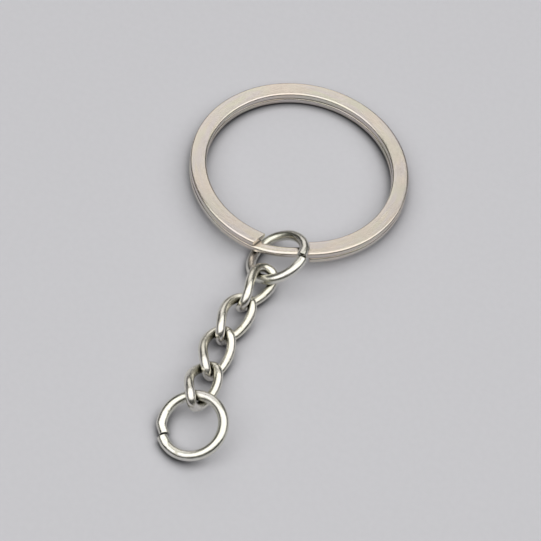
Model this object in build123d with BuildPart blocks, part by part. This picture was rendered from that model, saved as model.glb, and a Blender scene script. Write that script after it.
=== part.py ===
"""Split key ring with a jump ring, a short twisted curb chain and an end ring.

Every piece is one bent wire.  The chain is built from the split ring outwards:
each loop is hung inside the loop before it by hang(), which keeps the two wires
a constant small gap apart and turns the new loop by three angles.
Units are millimetres.  +Z is up and z = 0 is the surface the key ring lies on.
"""
from build123d import *
import math
import os

os.makedirs("parts", exist_ok=True)

# --- split ring: flat wire wound twice -------------------------------------
RING_OD = 30.5          # across the outside, a nominal 30 mm ring
RING_WIDTH = 2.3        # flat wire, measured along the radius
RING_THICK = 2.0        # both turns together
LAYER_GAP = 0.04        # hairline between the two turns
EDGE_ROUND = 0.30       # rounded edges of the flat wire
RING_TILT = 3.42        # the near side is held up by the jump ring's wire below it
RING_CENTRE_Y = 16.566   # middle of the split ring, from the middle of the whole part
RAMP_START = -97.0      # the wire leaves the lower turn here (degrees round the ring)
RAMP_END = -67.0        # and reaches the upper turn here
RAMP_WIDTH = 1.45       # the crossing wire is narrower and rounder
RAMP_THICK = 1.04
RAMP_ROUND = 0.46
NARROWING = 0.14        # share of the ramp over which the wire narrows at each end
END_CUT = 0.4           # each free end stops this many degrees short of the ramp
END_ROUND = 0.14        # rounded rim of a free end

# --- jump rings: round wire, open butt joint --------------------------------
JUMP_OD = 9.3
JUMP_WIRE = 1.4
END_RING_OD = 9.7       # the ring at the end of the chain is a little larger
END_RING_WIRE = 1.43
JUMP_GAP = 0.10         # butt joint, measured along the wire

# --- curb links: round wire, oval, twisted a quarter turn end to end --------
LINK_HALF_LENGTH = 3.57  # to the wire's centre
LINK_HALF_WIDTH = 1.85   # to the wire's centre
LINK_WIRE = 1.30
LINK_TWIST = 45.0        # at each end, opposite ways
LINK_FULLNESS = 2.2      # 2 is an ellipse, more is fuller at the shoulders
LINK_GAP = 0.08          # butt joint, measured along the wire
LINK_JOINT_AT = 205.0    # where the butt joint is round the link, in degrees
LINK_POINTS = 48

WIRE_GAP = 0.04          # between two wires where one hangs on the other

# --- how the pieces lie ------------------------------------------------------
LAY_TURN = 9.1           # the split ring's tilt axis, turned from +X
CONNECTOR_X = 1.83
CONNECTOR_Y = 1.206
CONNECTOR_Z = 2.81
CONNECTOR_LEAN = 32.2    # degrees from lying flat
CONNECTOR_LEAN_AXIS = -93.0
CONNECTOR_JOINT_AT = -3.0
HANG_AT = -102.9         # where link 1 hangs, round the connector ring

# each loop on the one before it: swing, tilt and twist in degrees, and the slack
# in mm that two wires need where they do not cross squarely
LINK_LIES = [
    (-5.5, 0.5, 43.5, 0.38),
    (3.0, -3.0, 27.0, 0.17),
    (14.0, 0.0, 11.0, 0.05),
    (0.5, 13.0, 1.0, 0.03),
]
END_LIE = (11.0, -27.0, -4.0, 0.15)
END_JOINT_AT = 72.0

UP = Vector(0, 0, 1)


def turned(vector, axis_direction, degrees):
    """The vector turned about a direction by the right-hand rule."""
    return vector.rotate(Axis((0, 0, 0), axis_direction), degrees)


def smooth(share):
    """0 to 1 with level ends, for shares below 0 and above 1 as well."""
    held = min(max(share, 0.0), 1.0)
    return held * held * (3 - 2 * held)


# --- where the split ring lies ------------------------------------------------
tilt_axis = turned(Vector(1, 0, 0), UP, LAY_TURN)
ring_up = turned(UP, tilt_axis, -RING_TILT)
ring_across = turned(Vector(1, 0, 0), tilt_axis, -RING_TILT)
ring_away = ring_up.cross(ring_across)
ring_radius = RING_OD / 2
far_edge_lift = ring_radius * math.sin(math.radians(RING_TILT))
ring_base = Vector(0, RING_CENTRE_Y, far_edge_lift)


def ring_section(angle, radius, height):
    """Plane across the flat wire: x outwards, y up the ring's axis."""
    a = math.radians(angle)
    out = ring_across * math.cos(a) + ring_away * math.sin(a)
    along = ring_away * math.cos(a) - ring_across * math.sin(a)
    return Plane(origin=ring_base + out * radius + ring_up * height, x_dir=out, z_dir=along * -1)


turn_thick = (RING_THICK - LAYER_GAP) / 2
turn_radius = ring_radius - RING_WIDTH / 2
lower_mid = turn_thick / 2
upper_mid = RING_THICK - turn_thick / 2
turn_arc = 360 - (RAMP_END - RAMP_START) - END_CUT
ring_axis = Axis(ring_base, ring_up)
ramp_steps = 12


def ramp_section(share):
    """Plane, width, thickness and rounding of the crossing wire, share 0 to 1 along it."""
    angle = RAMP_START + (RAMP_END - RAMP_START) * share
    narrow = smooth(share / NARROWING) * smooth((1 - share) / NARROWING)
    width = RING_WIDTH + (RAMP_WIDTH - RING_WIDTH) * narrow
    thick = turn_thick + (RAMP_THICK - turn_thick) * narrow
    rounding = EDGE_ROUND + (RAMP_ROUND - EDGE_ROUND) * narrow
    height = lower_mid + (upper_mid - lower_mid) * smooth(share)
    return ring_section(angle, ring_radius - width / 2, height), width, thick, rounding


with BuildPart() as split_ring:
    # upper turn, from the ramp's top round the far side to its free end
    with BuildSketch(ring_section(RAMP_END, turn_radius, upper_mid)):
        RectangleRounded(RING_WIDTH, turn_thick, EDGE_ROUND)
    revolve(axis=ring_axis, revolution_arc=turn_arc)
    # lower turn, from its free end round the far side to the ramp's foot
    with BuildSketch(ring_section(RAMP_END + END_CUT, turn_radius, lower_mid)):
        RectangleRounded(RING_WIDTH, turn_thick, EDGE_ROUND)
    revolve(axis=ring_axis, revolution_arc=turn_arc)
    # the free ends have a rounded rim
    free_ends = [
        ring_section(RAMP_START - END_CUT, turn_radius, upper_mid).origin,
        ring_section(RAMP_END + END_CUT, turn_radius, lower_mid).origin,
    ]
    for middle in free_ends:
        cut_face = split_ring.faces().sort_by_distance(middle)[0]
        fillet(cut_face.edges(), radius=END_ROUND)
    # the wire crosses from the lower turn to the upper one
    for step in range(ramp_steps + 1):
        place, width, thick, rounding = ramp_section(step / ramp_steps)
        with BuildSketch(place):
            RectangleRounded(width, thick, rounding)
    loft()
split_ring.part.label = "split_ring"
export_step(split_ring.part, "parts/split_ring.step")


# --- how one loop hangs inside the one before it -------------------------------
class Loop:
    """A bent-wire loop: where it starts, and the frame it is drawn in.

    start is the middle of the wire where the loop hangs on the one before it,
    ahead points from there to the far end, and across is the wire's own
    direction at start.
    """

    def __init__(self, start, ahead, across, half_length, end_twist):
        self.ahead = ahead
        centre = start + ahead * half_length
        flat_side = turned(across, ahead, -end_twist)
        self.plane = Plane(origin=centre, x_dir=ahead, z_dir=ahead.cross(flat_side))
        self.far_point = centre + ahead * half_length
        self.far_across = turned(flat_side, ahead, -end_twist)


class Hold:
    """The far end of a loop: the middle of its wire, outwards, along the wire, wire size."""

    def __init__(self, point, outward, along, wire):
        self.point = point
        self.outward = outward
        self.along = along
        self.wire = wire


def hang(hold, wire, half_length, end_twist, swing, tilt, twist, slack):
    """The loop that hangs on a hold.

    swing turns the new loop about the wire it hangs on, twist turns it about
    its own length and tilt turns it about its own wire where the two meet.
    """
    reach = (hold.wire + wire) / 2 + WIRE_GAP + slack
    pull = turned(hold.outward, hold.along, swing)
    start = hold.point - pull * reach
    side = turned(turned(hold.outward.cross(hold.along), hold.along, swing), pull, twist)
    return Loop(start, turned(pull, side, tilt), side, half_length, end_twist)


def jump_ring(frame, radius, joint_at):
    """Wire section plane, axis and arc of a jump ring; joint_at is where it opens."""
    half_gap = math.degrees(JUMP_GAP / 2 / radius)
    a = math.radians(joint_at + half_gap)
    out = frame.x_dir * math.cos(a) + frame.y_dir * math.sin(a)
    section = Plane(origin=frame.origin + out * radius, x_dir=out, z_dir=frame.z_dir.cross(out))
    return section, Axis(frame.origin, frame.z_dir), 360 - 2 * half_gap


def link_path(frame):
    """Points along the middle of a curb link's wire, open at its butt joint."""
    gap_share = LINK_GAP / (2 * math.pi * (LINK_HALF_LENGTH + LINK_HALF_WIDTH) / 2)
    points = []
    for step in range(LINK_POINTS + 1):
        share = gap_share / 2 + (1 - gap_share) * step / LINK_POINTS
        a = math.radians(LINK_JOINT_AT) + 2 * math.pi * share
        c, s = math.cos(a), math.sin(a)
        x = LINK_HALF_LENGTH * math.copysign(abs(c) ** (2 / LINK_FULLNESS), c)
        y = LINK_HALF_WIDTH * math.copysign(abs(s) ** (2 / LINK_FULLNESS), s)
        turn = math.radians(-LINK_TWIST * x / LINK_HALF_LENGTH)
        points.append(frame.from_local_coords(Vector(x, y * math.cos(turn), y * math.sin(turn))))
    return points


# --- the first jump ring --------------------------------------------------------
# it leans through the split ring: its low side passes below the wire beside the
# ramp's foot and its high side passes over the ramp's top
connector_centre = Vector(CONNECTOR_X, CONNECTOR_Y, CONNECTOR_Z)
lean_axis = turned(Vector(1, 0, 0), UP, CONNECTOR_LEAN_AXIS)
connector_frame = Plane(
    origin=connector_centre,
    x_dir=turned(Vector(1, 0, 0), lean_axis, CONNECTOR_LEAN),
    z_dir=turned(UP, lean_axis, CONNECTOR_LEAN),
)

jump_radius = (JUMP_OD - JUMP_WIRE) / 2
section, axis, arc = jump_ring(connector_frame, jump_radius, CONNECTOR_JOINT_AT)
with BuildPart() as connector_ring:
    with BuildSketch(section):
        Circle(JUMP_WIRE / 2)
    revolve(axis=axis, revolution_arc=arc)
connector_ring.part.label = "connector_ring"
export_step(connector_ring.part, "parts/connector_ring.step")

# --- the chain --------------------------------------------------------------------
hang_turn = math.radians(HANG_AT)
outward = connector_frame.x_dir * math.cos(hang_turn) + connector_frame.y_dir * math.sin(hang_turn)
along = connector_frame.y_dir * math.cos(hang_turn) - connector_frame.x_dir * math.sin(hang_turn)
hold = Hold(connector_centre + outward * jump_radius, outward, along, JUMP_WIRE)

for number, lie in enumerate(LINK_LIES, start=1):
    link = hang(hold, LINK_WIRE, LINK_HALF_LENGTH, LINK_TWIST, *lie)
    with BuildPart() as chain_link:
        with BuildLine():
            wire = Spline(*link_path(link.plane))
        with BuildSketch(Plane(origin=wire @ 0, z_dir=wire % 0)):
            Circle(LINK_WIRE / 2)
        sweep(path=wire)
    chain_link.part.label = f"link_{number}"
    export_step(chain_link.part, f"parts/link_{number}.step")
    hold = Hold(link.far_point, link.ahead, link.far_across, LINK_WIRE)

# --- the jump ring at the end -------------------------------------------------------
end_radius = (END_RING_OD - END_RING_WIRE) / 2
last = hang(hold, END_RING_WIRE, end_radius, 0.0, *END_LIE)
section, axis, arc = jump_ring(last.plane, end_radius, END_JOINT_AT)
with BuildPart() as end_ring:
    with BuildSketch(section):
        Circle(END_RING_WIRE / 2)
    revolve(axis=axis, revolution_arc=arc)
end_ring.part.label = "end_ring"
export_step(end_ring.part, "parts/end_ring.step")
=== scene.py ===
"""Looks of the split key ring: nickel-plated bent wire on a pale floor.

Every piece is one wire, swept along its own line as a fine mesh with worn cut
ends, and stands for the CAD node of the same name.  Sizes and angles are in
millimetres and degrees and are turned into metres where a mesh is written.
"""

from math import copysign, cos, degrees, pi, radians, sin, sqrt

import bpy
from mathutils import Matrix, Vector, noise


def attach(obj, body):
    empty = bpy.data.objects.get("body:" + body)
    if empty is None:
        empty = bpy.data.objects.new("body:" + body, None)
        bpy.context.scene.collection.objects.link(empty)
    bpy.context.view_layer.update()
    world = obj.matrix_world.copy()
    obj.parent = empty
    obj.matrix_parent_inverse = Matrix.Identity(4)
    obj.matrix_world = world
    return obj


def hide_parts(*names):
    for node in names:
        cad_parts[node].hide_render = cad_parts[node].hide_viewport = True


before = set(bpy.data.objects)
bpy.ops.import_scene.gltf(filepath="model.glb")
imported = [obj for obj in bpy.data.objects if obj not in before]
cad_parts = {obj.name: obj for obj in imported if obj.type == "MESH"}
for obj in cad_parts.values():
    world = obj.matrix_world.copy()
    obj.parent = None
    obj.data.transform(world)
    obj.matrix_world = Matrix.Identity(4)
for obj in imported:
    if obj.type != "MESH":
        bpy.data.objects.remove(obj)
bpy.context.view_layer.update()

MM = 0.001
UP = Vector((0, 0, 1))
EAST = Vector((1, 0, 0))

# --- split ring: flat wire wound twice ---------------------------------------
RING_OD = 30.5
RING_WIDTH = 2.3
RING_THICK = 2.0
LAYER_GAP = 0.04
EDGE_ROUND = 0.30
RING_TILT = 3.42
RING_CENTRE_Y = 16.566
RAMP_START = -97.0
RAMP_END = -67.0
RAMP_WIDTH = 1.45
RAMP_THICK = 1.04
RAMP_ROUND = 0.46
NARROWING = 0.14
END_CUT = 0.4
FACE_CROWN = 0.015      # the flat faces are very slightly domed
FREE_END_SLANT = 0.34   # the upper free end is cut aslant, by this share of its width
FREE_END_REACH = 7.0    # degrees of the ring over which the slant comes in

# --- jump rings: round wire, open butt joint -----------------------------------
JUMP_OD = 9.3
JUMP_WIRE = 1.4
END_RING_OD = 9.7
END_RING_WIRE = 1.43
JOINT_GAP = 0.40
CONNECTOR_MISS = 0.10   # how far the cut ends miss each other, up or down
END_RING_MISS = 0.20
MISS_INWARD = 0.9       # shares of the miss by which the ends also go inwards
MISS_ASIDE = 0.7        # and apart along the radius
BENT_SHARE = 0.06       # share of the wire that is bent off line at each end

# --- curb links: round wire, oval, twisted a quarter turn end to end ------------
LINK_HALF_LENGTH = 3.57
LINK_HALF_WIDTH = 1.85
LINK_WIRE = 1.30
LINK_TWIST = 45.0
LINK_FULLNESS = 2.2
LINK_GAP = 0.08
LINK_JOINT_AT = 205.0

WIRE_GAP = 0.04

# --- fineness of the meshes ---------------------------------------------------------
TURN_STEPS = 220        # along one turn of the split ring
RAMP_STEPS = 48
LOOP_STEPS = 200        # along a jump ring or a link
RIM_STEPS = 4           # over the rounded rim of a cut end
END_FACE_SHARES = (0.75, 0.45, 0.18)    # rings of points over a cut end's face
WEAR_SCALE = 2.3        # noise over the cut ends, and along the wires, per mm
WOBBLE_SCALE = 0.9

# --- how the pieces lie ----------------------------------------------------------
LAY_TURN = 9.1
CONNECTOR_CENTRE = Vector((1.83, 1.206, 2.81))
CONNECTOR_LEAN = 32.2
CONNECTOR_LEAN_AXIS = -93.0
CONNECTOR_JOINT_AT = -3.0
HANG_AT = -102.9
# each link on the one before it: swing, tilt, twist and slack
LINK_LIES = [
    (-5.5, 0.5, 43.5, 0.38),
    (3.0, -3.0, 27.0, 0.17),
    (14.0, 0.0, 11.0, 0.05),
    (0.5, 13.0, 1.0, 0.03),
]
END_LIE = (11.0, -27.0, -4.0, 0.15)
END_JOINT_AT = 72.0

# --- camera: where it stands round the key ring ------------------------------------
AIM = Vector((1.31, 0.656, 0.0))
VIEW_AZIMUTH = 9.1
VIEW_ELEVATION = 56.42
VIEW_DISTANCE = 320.0
VIEW_ROLL = 11.12
VIEW_LENS = 157.15


def turned(vector, axis, angle):
    """The vector turned about an axis by the right-hand rule, in degrees."""
    return Matrix.Rotation(radians(angle), 3, axis) @ vector


def smooth(share):
    """0 to 1 with level ends, for shares below 0 and above 1 as well."""
    held = min(max(share, 0.0), 1.0)
    return held * held * (3 - 2 * held)


# --- one wire as a mesh --------------------------------------------------------------
class Station:
    """A cut across a wire: its middle, two directions across it and its outline.

    outline is a list of (first, second) offsets in mm, the same number at every
    station.
    """

    def __init__(self, middle, first, second, outline):
        self.middle = middle
        self.first = first
        self.second = second
        self.outline = outline

    def points(self, inset=0.0, forward=None):
        """The outline's points, drawn in by inset mm and moved forward."""
        reach = max(sqrt(a * a + b * b) for a, b in self.outline)
        scale = 1 - inset / reach
        base = self.middle + (forward or Vector((0, 0, 0)))
        return [base + self.first * (a * scale) + self.second * (b * scale) for a, b in self.outline]


def end_rows(station, outwards, rim, wear):
    """Rows that close a cut end: a rounded rim, then a slightly rough face."""
    rows = []
    for step in range(1, RIM_STEPS + 1):
        a = radians(90 * step / RIM_STEPS)
        rows.append(station.points(rim * (1 - cos(a)), outwards * (rim * sin(a))))
    reach = max(sqrt(a * a + b * b) for a, b in station.outline)
    for share in END_FACE_SHARES:
        inset = reach - (reach - rim) * share
        row = []
        for point in station.points(inset, outwards * rim):
            bite = noise.noise(point * WEAR_SCALE) * wear
            row.append(point + outwards * min(bite, 0.0))
        rows.append(row)
    return rows


def wire_mesh(name, stations, rim, wear, wobble):
    """A closed mesh of a bent wire, from its first cut end to its last.

    rim is the rounding of the cut ends, wear how deep their faces are bitten and
    wobble how far the wire strays from its true size, all in mm.
    The UV map holds millimetres along and around the wire, for the materials.
    """
    start_out = (stations[0].middle - stations[1].middle).normalized()
    end_out = (stations[-1].middle - stations[-2].middle).normalized()
    rows = list(reversed(end_rows(stations[0], start_out, rim, wear)))
    first_body_row = len(rows)
    for station in stations:
        row = []
        for point in station.points():
            away = (point - station.middle).normalized()
            row.append(point + away * (noise.noise(point * WOBBLE_SCALE) * wobble - wobble))
        rows.append(row)
    rows += end_rows(stations[-1], end_out, rim, wear)

    around = len(stations[0].outline)
    points = [point for row in rows for point in row]
    faces = []
    for row in range(len(rows) - 1):
        for side in range(around):
            after = (side + 1) % around
            faces.append((
                row * around + side, row * around + after,
                (row + 1) * around + after, (row + 1) * around + side,
            ))
    faces.append(tuple(reversed(range(around))))
    last = (len(rows) - 1) * around
    faces.append(tuple(last + side for side in range(around)))

    mesh = bpy.data.meshes.new(name)
    mesh.from_pydata([point * MM for point in points], [], faces)
    add_wire_uvs(mesh, rows, around, first_body_row)
    mesh.polygons.foreach_set("use_smooth", [True] * len(mesh.polygons))
    mesh.validate()
    piece = bpy.data.objects.new(name, mesh)
    bpy.context.scene.collection.objects.link(piece)
    return piece


def add_wire_uvs(mesh, rows, around, first_body_row):
    """u is mm along the wire and v is mm around it."""
    along = [0.0]
    for before, after in zip(rows, rows[1:]):
        middle_before = sum(before, Vector()) / around
        middle_after = sum(after, Vector()) / around
        along.append(along[-1] + (middle_after - middle_before).length)
    body = rows[first_body_row]
    steps = [(body[(side + 1) % around] - body[side]).length for side in range(around)]
    girth = [sum(steps[:side]) for side in range(around + 1)]
    layer = mesh.uv_layers.new(name="wire")
    for face in mesh.polygons:
        sides = [mesh.loops[loop].vertex_index % around for loop in face.loop_indices]
        wraps = max(sides) - min(sides) > around / 2 and len(sides) == 4
        for loop, side in zip(face.loop_indices, sides):
            row = mesh.loops[loop].vertex_index // around
            turn = around if wraps and side == 0 else side
            layer.data[loop].uv = (along[row], girth[turn])


def circle(diameter, count=40):
    """The outline of round wire."""
    radius = diameter / 2
    return [(radius * cos(2 * pi * i / count), radius * sin(2 * pi * i / count)) for i in range(count)]


def rounded_rectangle(width, height, rounding, crown=0.0, flat_steps=8, corner_steps=8):
    """The outline of flat wire: rounded edges and slightly domed faces."""
    half_width = width / 2 - rounding
    half_height = height / 2 - rounding
    corners = [(half_width, half_height, 0), (-half_width, half_height, 90),
               (-half_width, -half_height, 180), (half_width, -half_height, 270)]
    outline = []
    for index, (x, y, start) in enumerate(corners):
        for step in range(corner_steps + 1):
            a = radians(start + 90 * step / corner_steps)
            outline.append((x + rounding * cos(a), y + rounding * sin(a)))
        next_x, next_y, _ = corners[(index + 1) % 4]
        a = radians(start + 90)
        for step in range(1, flat_steps):
            share = step / flat_steps
            outline.append((x + (next_x - x) * share + rounding * cos(a),
                            y + (next_y - y) * share + rounding * sin(a)))
    return [(x, y - copysign(crown * min(1.0, (2 * x / width) ** 2), y)) for x, y in outline]


# --- split ring -----------------------------------------------------------------------
tilt_axis = turned(EAST, UP, LAY_TURN)
ring_up = turned(UP, tilt_axis, -RING_TILT)
ring_across = turned(EAST, tilt_axis, -RING_TILT)
ring_away = ring_up.cross(ring_across)
ring_radius = RING_OD / 2
ring_base = Vector((0, RING_CENTRE_Y, ring_radius * sin(radians(RING_TILT))))
turn_thick = (RING_THICK - LAYER_GAP) / 2
lower_mid = turn_thick / 2
upper_mid = RING_THICK - turn_thick / 2


def flat_wire_station(angle, width, thick, rounding, height, slant=0.0):
    """A cut across the flat wire, whose outside stays on the ring's outside.

    slant leans the cut over: its inner edge runs ahead by that share of its width.
    """
    a = radians(angle)
    out = ring_across * cos(a) + ring_away * sin(a)
    along = ring_away * cos(a) - ring_across * sin(a)
    middle = ring_base + out * (ring_radius - width / 2) + ring_up * height + along * (slant * width / 2)
    outline = rounded_rectangle(width, thick, rounding, FACE_CROWN)
    return Station(middle, out - along * slant, ring_up, outline)


def ramp_station(share):
    """A cut across the wire where it crosses from the lower turn to the upper one."""
    narrow = smooth(share / NARROWING) * smooth((1 - share) / NARROWING)
    return flat_wire_station(
        RAMP_START + (RAMP_END - RAMP_START) * share,
        RING_WIDTH + (RAMP_WIDTH - RING_WIDTH) * narrow,
        turn_thick + (RAMP_THICK - turn_thick) * narrow,
        EDGE_ROUND + (RAMP_ROUND - EDGE_ROUND) * narrow,
        lower_mid + (upper_mid - lower_mid) * smooth(share),
    )


def make_split_ring(material):
    """One flat wire: lower free end, lower turn, ramp, upper turn, upper free end."""
    stations = []
    turn_arc = 360 - (RAMP_END - RAMP_START) - END_CUT
    lower_start = RAMP_END + END_CUT
    for step in range(TURN_STEPS):
        angle = lower_start + turn_arc * step / TURN_STEPS
        stations.append(flat_wire_station(angle, RING_WIDTH, turn_thick, EDGE_ROUND, lower_mid))
    stations += [ramp_station(step / RAMP_STEPS) for step in range(RAMP_STEPS + 1)]
    for step in range(1, TURN_STEPS + 1):
        angle = RAMP_END + turn_arc * step / TURN_STEPS
        slant = FREE_END_SLANT * smooth(1 - (TURN_STEPS - step) * turn_arc / TURN_STEPS / FREE_END_REACH)
        stations.append(flat_wire_station(angle, RING_WIDTH, turn_thick, EDGE_ROUND, upper_mid, slant))
    piece = wire_mesh("split_ring_wire", stations, rim=0.07, wear=0.16, wobble=0.004)
    return dress(piece, "split_ring", material)


# --- how one loop hangs inside the one before it -----------------------------------------
class Loop:
    """Where a bent-wire loop is drawn: its middle and its own three directions."""

    def __init__(self, start, ahead, across, half_length, end_twist):
        self.middle = start + ahead * half_length
        self.ahead = ahead
        self.side = turned(across, ahead, -end_twist)
        self.normal = ahead.cross(self.side)
        self.far_point = self.middle + ahead * half_length
        self.far_across = turned(self.side, ahead, -end_twist)

    def at(self, x, y, z):
        return self.middle + self.ahead * x + self.side * y + self.normal * z


class Hold:
    """The far end of a loop: the middle of its wire, outwards, along the wire, wire size."""

    def __init__(self, point, outward, along, wire):
        self.point = point
        self.outward = outward
        self.along = along
        self.wire = wire


def hang(hold, wire, half_length, end_twist, swing, tilt, twist, slack):
    """The loop that hangs on a hold, turned by swing, tilt and twist."""
    reach = (hold.wire + wire) / 2 + WIRE_GAP + slack
    pull = turned(hold.outward, hold.along, swing)
    start = hold.point - pull * reach
    level = turned(hold.outward.cross(hold.along), hold.along, swing)
    side = turned(level, pull, twist)
    return Loop(start, turned(pull, side, tilt), side, half_length, end_twist)


def make_jump_ring(name, node, middle, x_dir, y_dir, radius, wire, joint_at, step_out, material):
    """Round wire bent to a ring; its two cut ends miss each other by step_out mm."""
    normal = x_dir.cross(y_dir)
    half_gap = degrees(JOINT_GAP / 2 / radius)
    rim = 0.08
    rim_turn = degrees(rim / radius)
    first = joint_at + half_gap + rim_turn
    arc = 360 - 2 * (half_gap + rim_turn)
    stations = []
    for step in range(LOOP_STEPS + 1):
        share = step / LOOP_STEPS
        a = radians(first + arc * share)
        out = x_dir * cos(a) + y_dir * sin(a)
        # the last millimetres at either end are bent a little past the ring's line
        near_end = smooth(1 - min(share, 1 - share) / BENT_SHARE)
        miss = step_out * near_end * (1 if share < 0.5 else -1)
        drawn_in = abs(miss) * MISS_INWARD + miss * MISS_ASIDE
        place = middle + out * (radius - drawn_in) + normal * miss
        stations.append(Station(place, out, normal, circle(wire)))
    piece = wire_mesh(name, stations, rim=rim, wear=0.12, wobble=0.008)
    return dress(piece, node, material)


def link_middle(loop, share):
    """The middle of a curb link's wire, share 0 to 1 round from its butt joint."""
    a = radians(LINK_JOINT_AT) + 2 * pi * share
    c, s = cos(a), sin(a)
    x = LINK_HALF_LENGTH * copysign(abs(c) ** (2 / LINK_FULLNESS), c)
    y = LINK_HALF_WIDTH * copysign(abs(s) ** (2 / LINK_FULLNESS), s)
    turn = radians(-LINK_TWIST * x / LINK_HALF_LENGTH)
    return loop.at(x, y * cos(turn), y * sin(turn))


def even_shares(loop, start, end, count):
    """Shares between start and end that are evenly spaced along the link's wire."""
    fine = 1440
    places = [link_middle(loop, start + (end - start) * i / fine) for i in range(fine + 1)]
    run = [0.0]
    for before, after in zip(places, places[1:]):
        run.append(run[-1] + (after - before).length)
    shares, index = [], 0
    for step in range(count + 1):
        goal = run[-1] * step / count
        while index < fine - 1 and run[index + 1] < goal:
            index += 1
        part = (goal - run[index]) / max(run[index + 1] - run[index], 1e-9)
        shares.append(start + (end - start) * (index + min(part, 1.0)) / fine)
    return shares


def make_link(number, loop, material):
    """A curb link: round wire bent to an oval and twisted, closed by a butt joint."""
    girth = 2 * pi * (LINK_HALF_LENGTH + LINK_HALF_WIDTH) / 2
    rim = 0.07
    half_gap = (LINK_GAP / 2 + rim) / girth
    shares = even_shares(loop, half_gap, 1 - half_gap, LOOP_STEPS)
    stations = []
    second = loop.normal
    for share in shares:
        middle = link_middle(loop, share)
        along = (link_middle(loop, share + 1e-4) - link_middle(loop, share - 1e-4)).normalized()
        second = (second - along * second.dot(along)).normalized()
        stations.append(Station(middle, along.cross(second), second, circle(LINK_WIRE)))
    piece = wire_mesh(f"link_{number}_wire", stations, rim=rim, wear=0.10, wobble=0.007)
    return dress(piece, f"link_{number}", material)


def dress(piece, node, material):
    """The piece stands for its CAD node, rides on its body and takes its material."""
    piece.data.materials.append(material)
    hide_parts(node)
    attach(piece, node)
    return piece


# --- materials -------------------------------------------------------------------------------
CREVICE_SHADE_REACH = 0.0007  # m: painted shade darkens the plate where another surface is this near
CONTACT_SHADOW_REACH = 0.0018  # m: painted contact shadow: the floor is darker where metal is this near
RELIEF_DEPTH = 0.00002  # m: how deep the marks and pits are at a bump of 1


def add_node(tree, kind, **inputs):
    """A shader node; each keyword sets the input of that name, with _ for a space."""
    node = tree.nodes.new(kind)
    for name, value in inputs.items():
        node.inputs[name.replace("_", " ")].default_value = value
    return node


def noise_node(tree, vector, scale, detail, roughness=0.5):
    node = add_node(tree, "ShaderNodeTexNoise", Scale=scale, Detail=detail, Roughness=roughness)
    tree.links.new(vector, node.inputs["Vector"])
    return node.outputs["Fac"]


def stretched(tree, vector, along, around):
    """The wire's own coordinates, scaled along it and around it."""
    node = tree.nodes.new("ShaderNodeMapping")
    node.inputs["Scale"].default_value = (along, around, 1.0)
    tree.links.new(vector, node.inputs["Vector"])
    return node.outputs["Vector"]


def ranged(tree, value, low, high, to_low, to_high):
    node = tree.nodes.new("ShaderNodeMapRange")
    node.interpolation_type = "SMOOTHSTEP"
    for name, number in (("From Min", low), ("From Max", high), ("To Min", to_low), ("To Max", to_high)):
        node.inputs[name].default_value = number
    tree.links.new(value, node.inputs["Value"])
    return node.outputs["Result"]


def mixed(tree, share, first, second):
    """A colour mix; first and second are colours or sockets."""
    node = tree.nodes.new("ShaderNodeMix")
    node.data_type = "RGBA"
    tree.links.new(share, node.inputs["Factor"])
    for socket, value in ((node.inputs[6], first), (node.inputs[7], second)):
        if hasattr(value, "is_output"):
            tree.links.new(value, socket)
        else:
            socket.default_value = (*value, 1.0)
    return node.outputs[2]


def added(tree, first, second, weight):
    """first + second * weight."""
    node = tree.nodes.new("ShaderNodeMath")
    node.operation = "MULTIPLY_ADD"
    tree.links.new(second, node.inputs[0])
    node.inputs[1].default_value = weight
    tree.links.new(first, node.inputs[2])
    return node.outputs[0]


def tucked_in(tree, reach):
    """0 in the open, up to 1 where surfaces nearer than reach (m) close in; the mask for painted shade.
    """
    node = add_node(tree, "ShaderNodeAmbientOcclusion", Distance=reach)
    node.samples = 12
    return ranged(tree, node.outputs["AO"], 0.25, 0.95, 1.0, 0.0)


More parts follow.
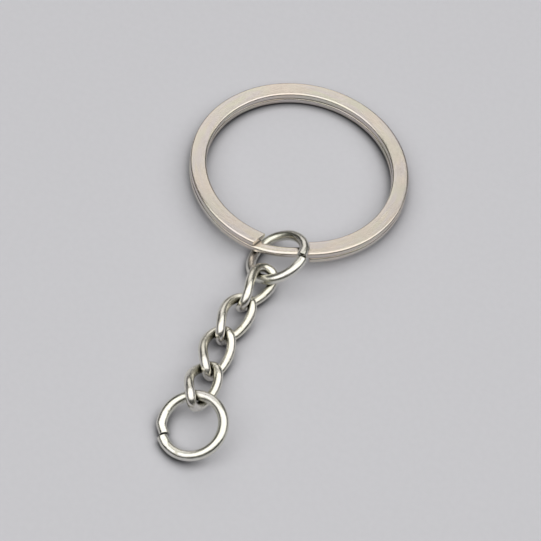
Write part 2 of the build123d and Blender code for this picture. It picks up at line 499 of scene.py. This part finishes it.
def nickel(name, warm, cool, blush, stain, stains, crevice_shade, rough_low, rough_high, streaks, pits, bump):
    """Bright nickel plate: drawn-wire streaks, cloudy tint, small stains and pits, and painted shade
    where another surface is near.
    """
    material = bpy.data.materials.new(name)
    material.use_nodes = True
    tree = material.node_tree
    shader = tree.nodes["Principled BSDF"]
    shader.inputs["Metallic"].default_value = 1.0
    uv = tree.nodes.new("ShaderNodeUVMap")
    uv.uv_map = "wire"
    wire = uv.outputs["UV"]
    place = tree.nodes.new("ShaderNodeTexCoord").outputs["Object"]

    # colour: tints of the plate drift into each other, with drawing marks along the
    # wire, small stains, and painted shade that darkens the plate where another surface is near
    lines = noise_node(tree, stretched(tree, wire, 0.35, 26.0), 1.0, 3.0, 0.6)
    drift = ranged(tree, noise_node(tree, place, 170.0, 2.0), 0.36, 0.64, 0.0, 1.0)
    plate = mixed(tree, drift, warm, cool)
    bloom = noise_node(tree, stretched(tree, wire, 0.16, 0.9), 1.0, 2.0)
    plate = mixed(tree, ranged(tree, bloom, 0.42, 0.66, 0.0, 0.9), plate, blush)
    plate = mixed(tree, ranged(tree, lines, 0.52, 0.80, 0.0, 0.35), plate, stain)
    spots = ranged(tree, noise_node(tree, place, 900.0, 4.0, 0.6), 0.60, 0.72, 0.0, stains)
    plate = mixed(tree, spots, plate, stain)
    # painted shade: the plate is darkened in grooves, between the two turns and where pieces touch
    plate = mixed(tree, tucked_in(tree, CREVICE_SHADE_REACH), plate, crevice_shade)
    tree.links.new(plate, shader.inputs["Base Color"])

    # roughness: the same marks over broad duller patches
    patches = noise_node(tree, place, 420.0, 3.0)
    dull = added(tree, patches, lines, streaks)
    rough = ranged(tree, dull, 0.35, 0.65 + streaks * 0.6, rough_low, rough_high)
    tree.links.new(rough, shader.inputs["Roughness"])

    # relief: the same streaks, the orange-peel of the plate and a few pits
    peel = noise_node(tree, place, 2600.0, 3.0)
    specks = tree.nodes.new("ShaderNodeTexVoronoi")
    specks.inputs["Scale"].default_value = 1500.0
    tree.links.new(place, specks.inputs["Vector"])
    holes = ranged(tree, specks.outputs["Distance"], 0.05, 0.16, -1.0, 0.0)
    relief = added(tree, peel, lines, streaks * 1.5)
    relief = added(tree, relief, holes, pits)
    lift = tree.nodes.new("ShaderNodeBump")
    lift.inputs["Strength"].default_value = bump
    lift.inputs["Distance"].default_value = RELIEF_DEPTH
    tree.links.new(relief, lift.inputs["Height"])
    tree.links.new(lift.outputs["Normal"], shader.inputs["Normal"])
    return material


def floor_material():
    """Smooth pale card with a trace of grain and a painted contact shadow near the metal."""
    material = bpy.data.materials.new("pale_card")
    material.use_nodes = True
    tree = material.node_tree
    shader = tree.nodes["Principled BSDF"]
    shader.inputs["Roughness"].default_value = 0.75
    shader.inputs["Specular IOR Level"].default_value = 0.25
    place = tree.nodes.new("ShaderNodeTexCoord").outputs["Object"]
    grain = ranged(tree, noise_node(tree, place, 1200.0, 3.0), 0.3, 0.7, 0.0, 1.0)
    shade = mixed(tree, grain, (0.566, 0.570, 0.612), (0.576, 0.580, 0.622))
    # painted contact shadow: the floor goes nearly black where metal is near
    shade = mixed(tree, tucked_in(tree, CONTACT_SHADOW_REACH), shade, (0.04, 0.04, 0.046))
    tree.links.new(shade, shader.inputs["Base Color"])
    return material


# --- the pieces, from the split ring outwards ----------------------------------------------------
flat_nickel = nickel(
    "split_ring_plate", warm=(0.71, 0.635, 0.565), cool=(0.665, 0.645, 0.555), blush=(0.665, 0.615, 0.60),
    stain=(0.50, 0.46, 0.40), stains=0.12, crevice_shade=(0.10, 0.09, 0.07), rough_low=0.17,
    rough_high=0.27, streaks=0.7, pits=0.4, bump=0.36,
)
ring_nickel = nickel(
    "jump_ring_plate", warm=(0.80, 0.785, 0.72), cool=(0.74, 0.735, 0.65), blush=(0.75, 0.73, 0.71),
    stain=(0.44, 0.42, 0.33), stains=0.5, crevice_shade=(0.22, 0.21, 0.16), rough_low=0.17,
    rough_high=0.27, streaks=0.5, pits=0.6, bump=0.6,
)
chain_nickel = nickel(
    "chain_plate", warm=(0.81, 0.79, 0.71), cool=(0.76, 0.745, 0.65), blush=(0.74, 0.715, 0.69),
    stain=(0.43, 0.40, 0.31), stains=0.5, crevice_shade=(0.20, 0.19, 0.14), rough_low=0.17,
    rough_high=0.28, streaks=0.5, pits=0.7, bump=0.65,
)

make_split_ring(flat_nickel)

lean_axis = turned(EAST, UP, CONNECTOR_LEAN_AXIS)
connector_x = turned(EAST, lean_axis, CONNECTOR_LEAN)
connector_z = turned(UP, lean_axis, CONNECTOR_LEAN)
connector_y = connector_z.cross(connector_x)
jump_radius = (JUMP_OD - JUMP_WIRE) / 2
make_jump_ring("connector_ring_wire", "connector_ring", CONNECTOR_CENTRE, connector_x, connector_y,
               jump_radius, JUMP_WIRE, CONNECTOR_JOINT_AT, CONNECTOR_MISS, ring_nickel)

hang_turn = radians(HANG_AT)
outward = connector_x * cos(hang_turn) + connector_y * sin(hang_turn)
along = connector_y * cos(hang_turn) - connector_x * sin(hang_turn)
hold = Hold(CONNECTOR_CENTRE + outward * jump_radius, outward, along, JUMP_WIRE)
for number, lie in enumerate(LINK_LIES, start=1):
    link = hang(hold, LINK_WIRE, LINK_HALF_LENGTH, LINK_TWIST, *lie)
    make_link(number, link, chain_nickel)
    hold = Hold(link.far_point, link.ahead, link.far_across, LINK_WIRE)

end_radius = (END_RING_OD - END_RING_WIRE) / 2
last = hang(hold, END_RING_WIRE, end_radius, 0.0, *END_LIE)
make_jump_ring("end_ring_wire", "end_ring", last.middle, last.ahead, last.side,
               end_radius, END_RING_WIRE, END_JOINT_AT, END_RING_MISS, ring_nickel)


# --- floor, lights and camera ----------------------------------------------------------------------
def make_floor():
    half = 3.0
    mesh = bpy.data.meshes.new("floor")
    corners = [(-half, -half, 0), (half, -half, 0), (half, half, 0), (-half, half, 0)]
    mesh.from_pydata(corners, [], [(0, 1, 2, 3)])
    floor = bpy.data.objects.new("floor", mesh)
    bpy.context.scene.collection.objects.link(floor)
    floor.data.materials.append(floor_material())


def add_softbox(name, place, width, depth, power, tint=(1, 1, 1)):
    """A rectangular area light at place (m), facing the key ring."""
    light = bpy.data.lights.new(name, "AREA")
    light.shape = "RECTANGLE"
    light.size = width
    light.size_y = depth
    light.energy = power
    light.color = tint
    lamp = bpy.data.objects.new(name, light)
    lamp.location = place
    lamp.rotation_euler = Vector(place).to_track_quat("Z", "Y").to_euler()
    bpy.context.scene.collection.objects.link(lamp)


def make_world():
    """Dim studio walls: darker near the horizon, lighter overhead."""
    world = bpy.data.worlds.new("studio")
    world.use_nodes = True
    tree = world.node_tree
    background = tree.nodes["Background"]
    place = tree.nodes.new("ShaderNodeTexCoord").outputs["Generated"]
    parts = tree.nodes.new("ShaderNodeSeparateXYZ")
    tree.links.new(place, parts.inputs[0])
    height = ranged(tree, parts.outputs["Z"], 0.05, 0.75, 0.0, 1.0)
    walls = mixed(tree, height, (0.02, 0.02, 0.016), (0.16, 0.16, 0.145))
    tree.links.new(walls, background.inputs["Color"])
    background.inputs["Strength"].default_value = 1.0
    bpy.context.scene.world = world


def make_camera():
    turn, lift = radians(VIEW_AZIMUTH), radians(VIEW_ELEVATION)
    back = Vector((sin(turn) * cos(lift), -cos(turn) * cos(lift), sin(lift)))
    right = Vector((cos(turn), sin(turn), 0))
    up = back.cross(right)
    right, up = (turned(v, back, VIEW_ROLL) for v in (right, up))
    camera = bpy.data.objects.new("camera", bpy.data.cameras.new("camera"))
    camera.data.lens = VIEW_LENS
    camera.data.sensor_width = 36.0
    camera.data.clip_start = 0.01
    pose = Matrix((right, up, back)).transposed().to_4x4()
    pose.translation = (AIM + back * VIEW_DISTANCE) * MM
    camera.matrix_world = pose
    bpy.context.scene.collection.objects.link(camera)
    bpy.context.scene.camera = camera


make_floor()
make_world()
add_softbox("overhead_softbox", (0.03, -0.05, 0.42), 1.40, 0.64, 4.00, (1.0, 0.985, 0.96))
add_softbox("back_softbox", (-0.22, 0.485, 0.353), 0.56, 0.44, 0.72, (1.0, 0.97, 0.945))
make_camera()
bpy.context.scene.view_settings.view_transform = "Standard"

bpy.context.view_layer.update()
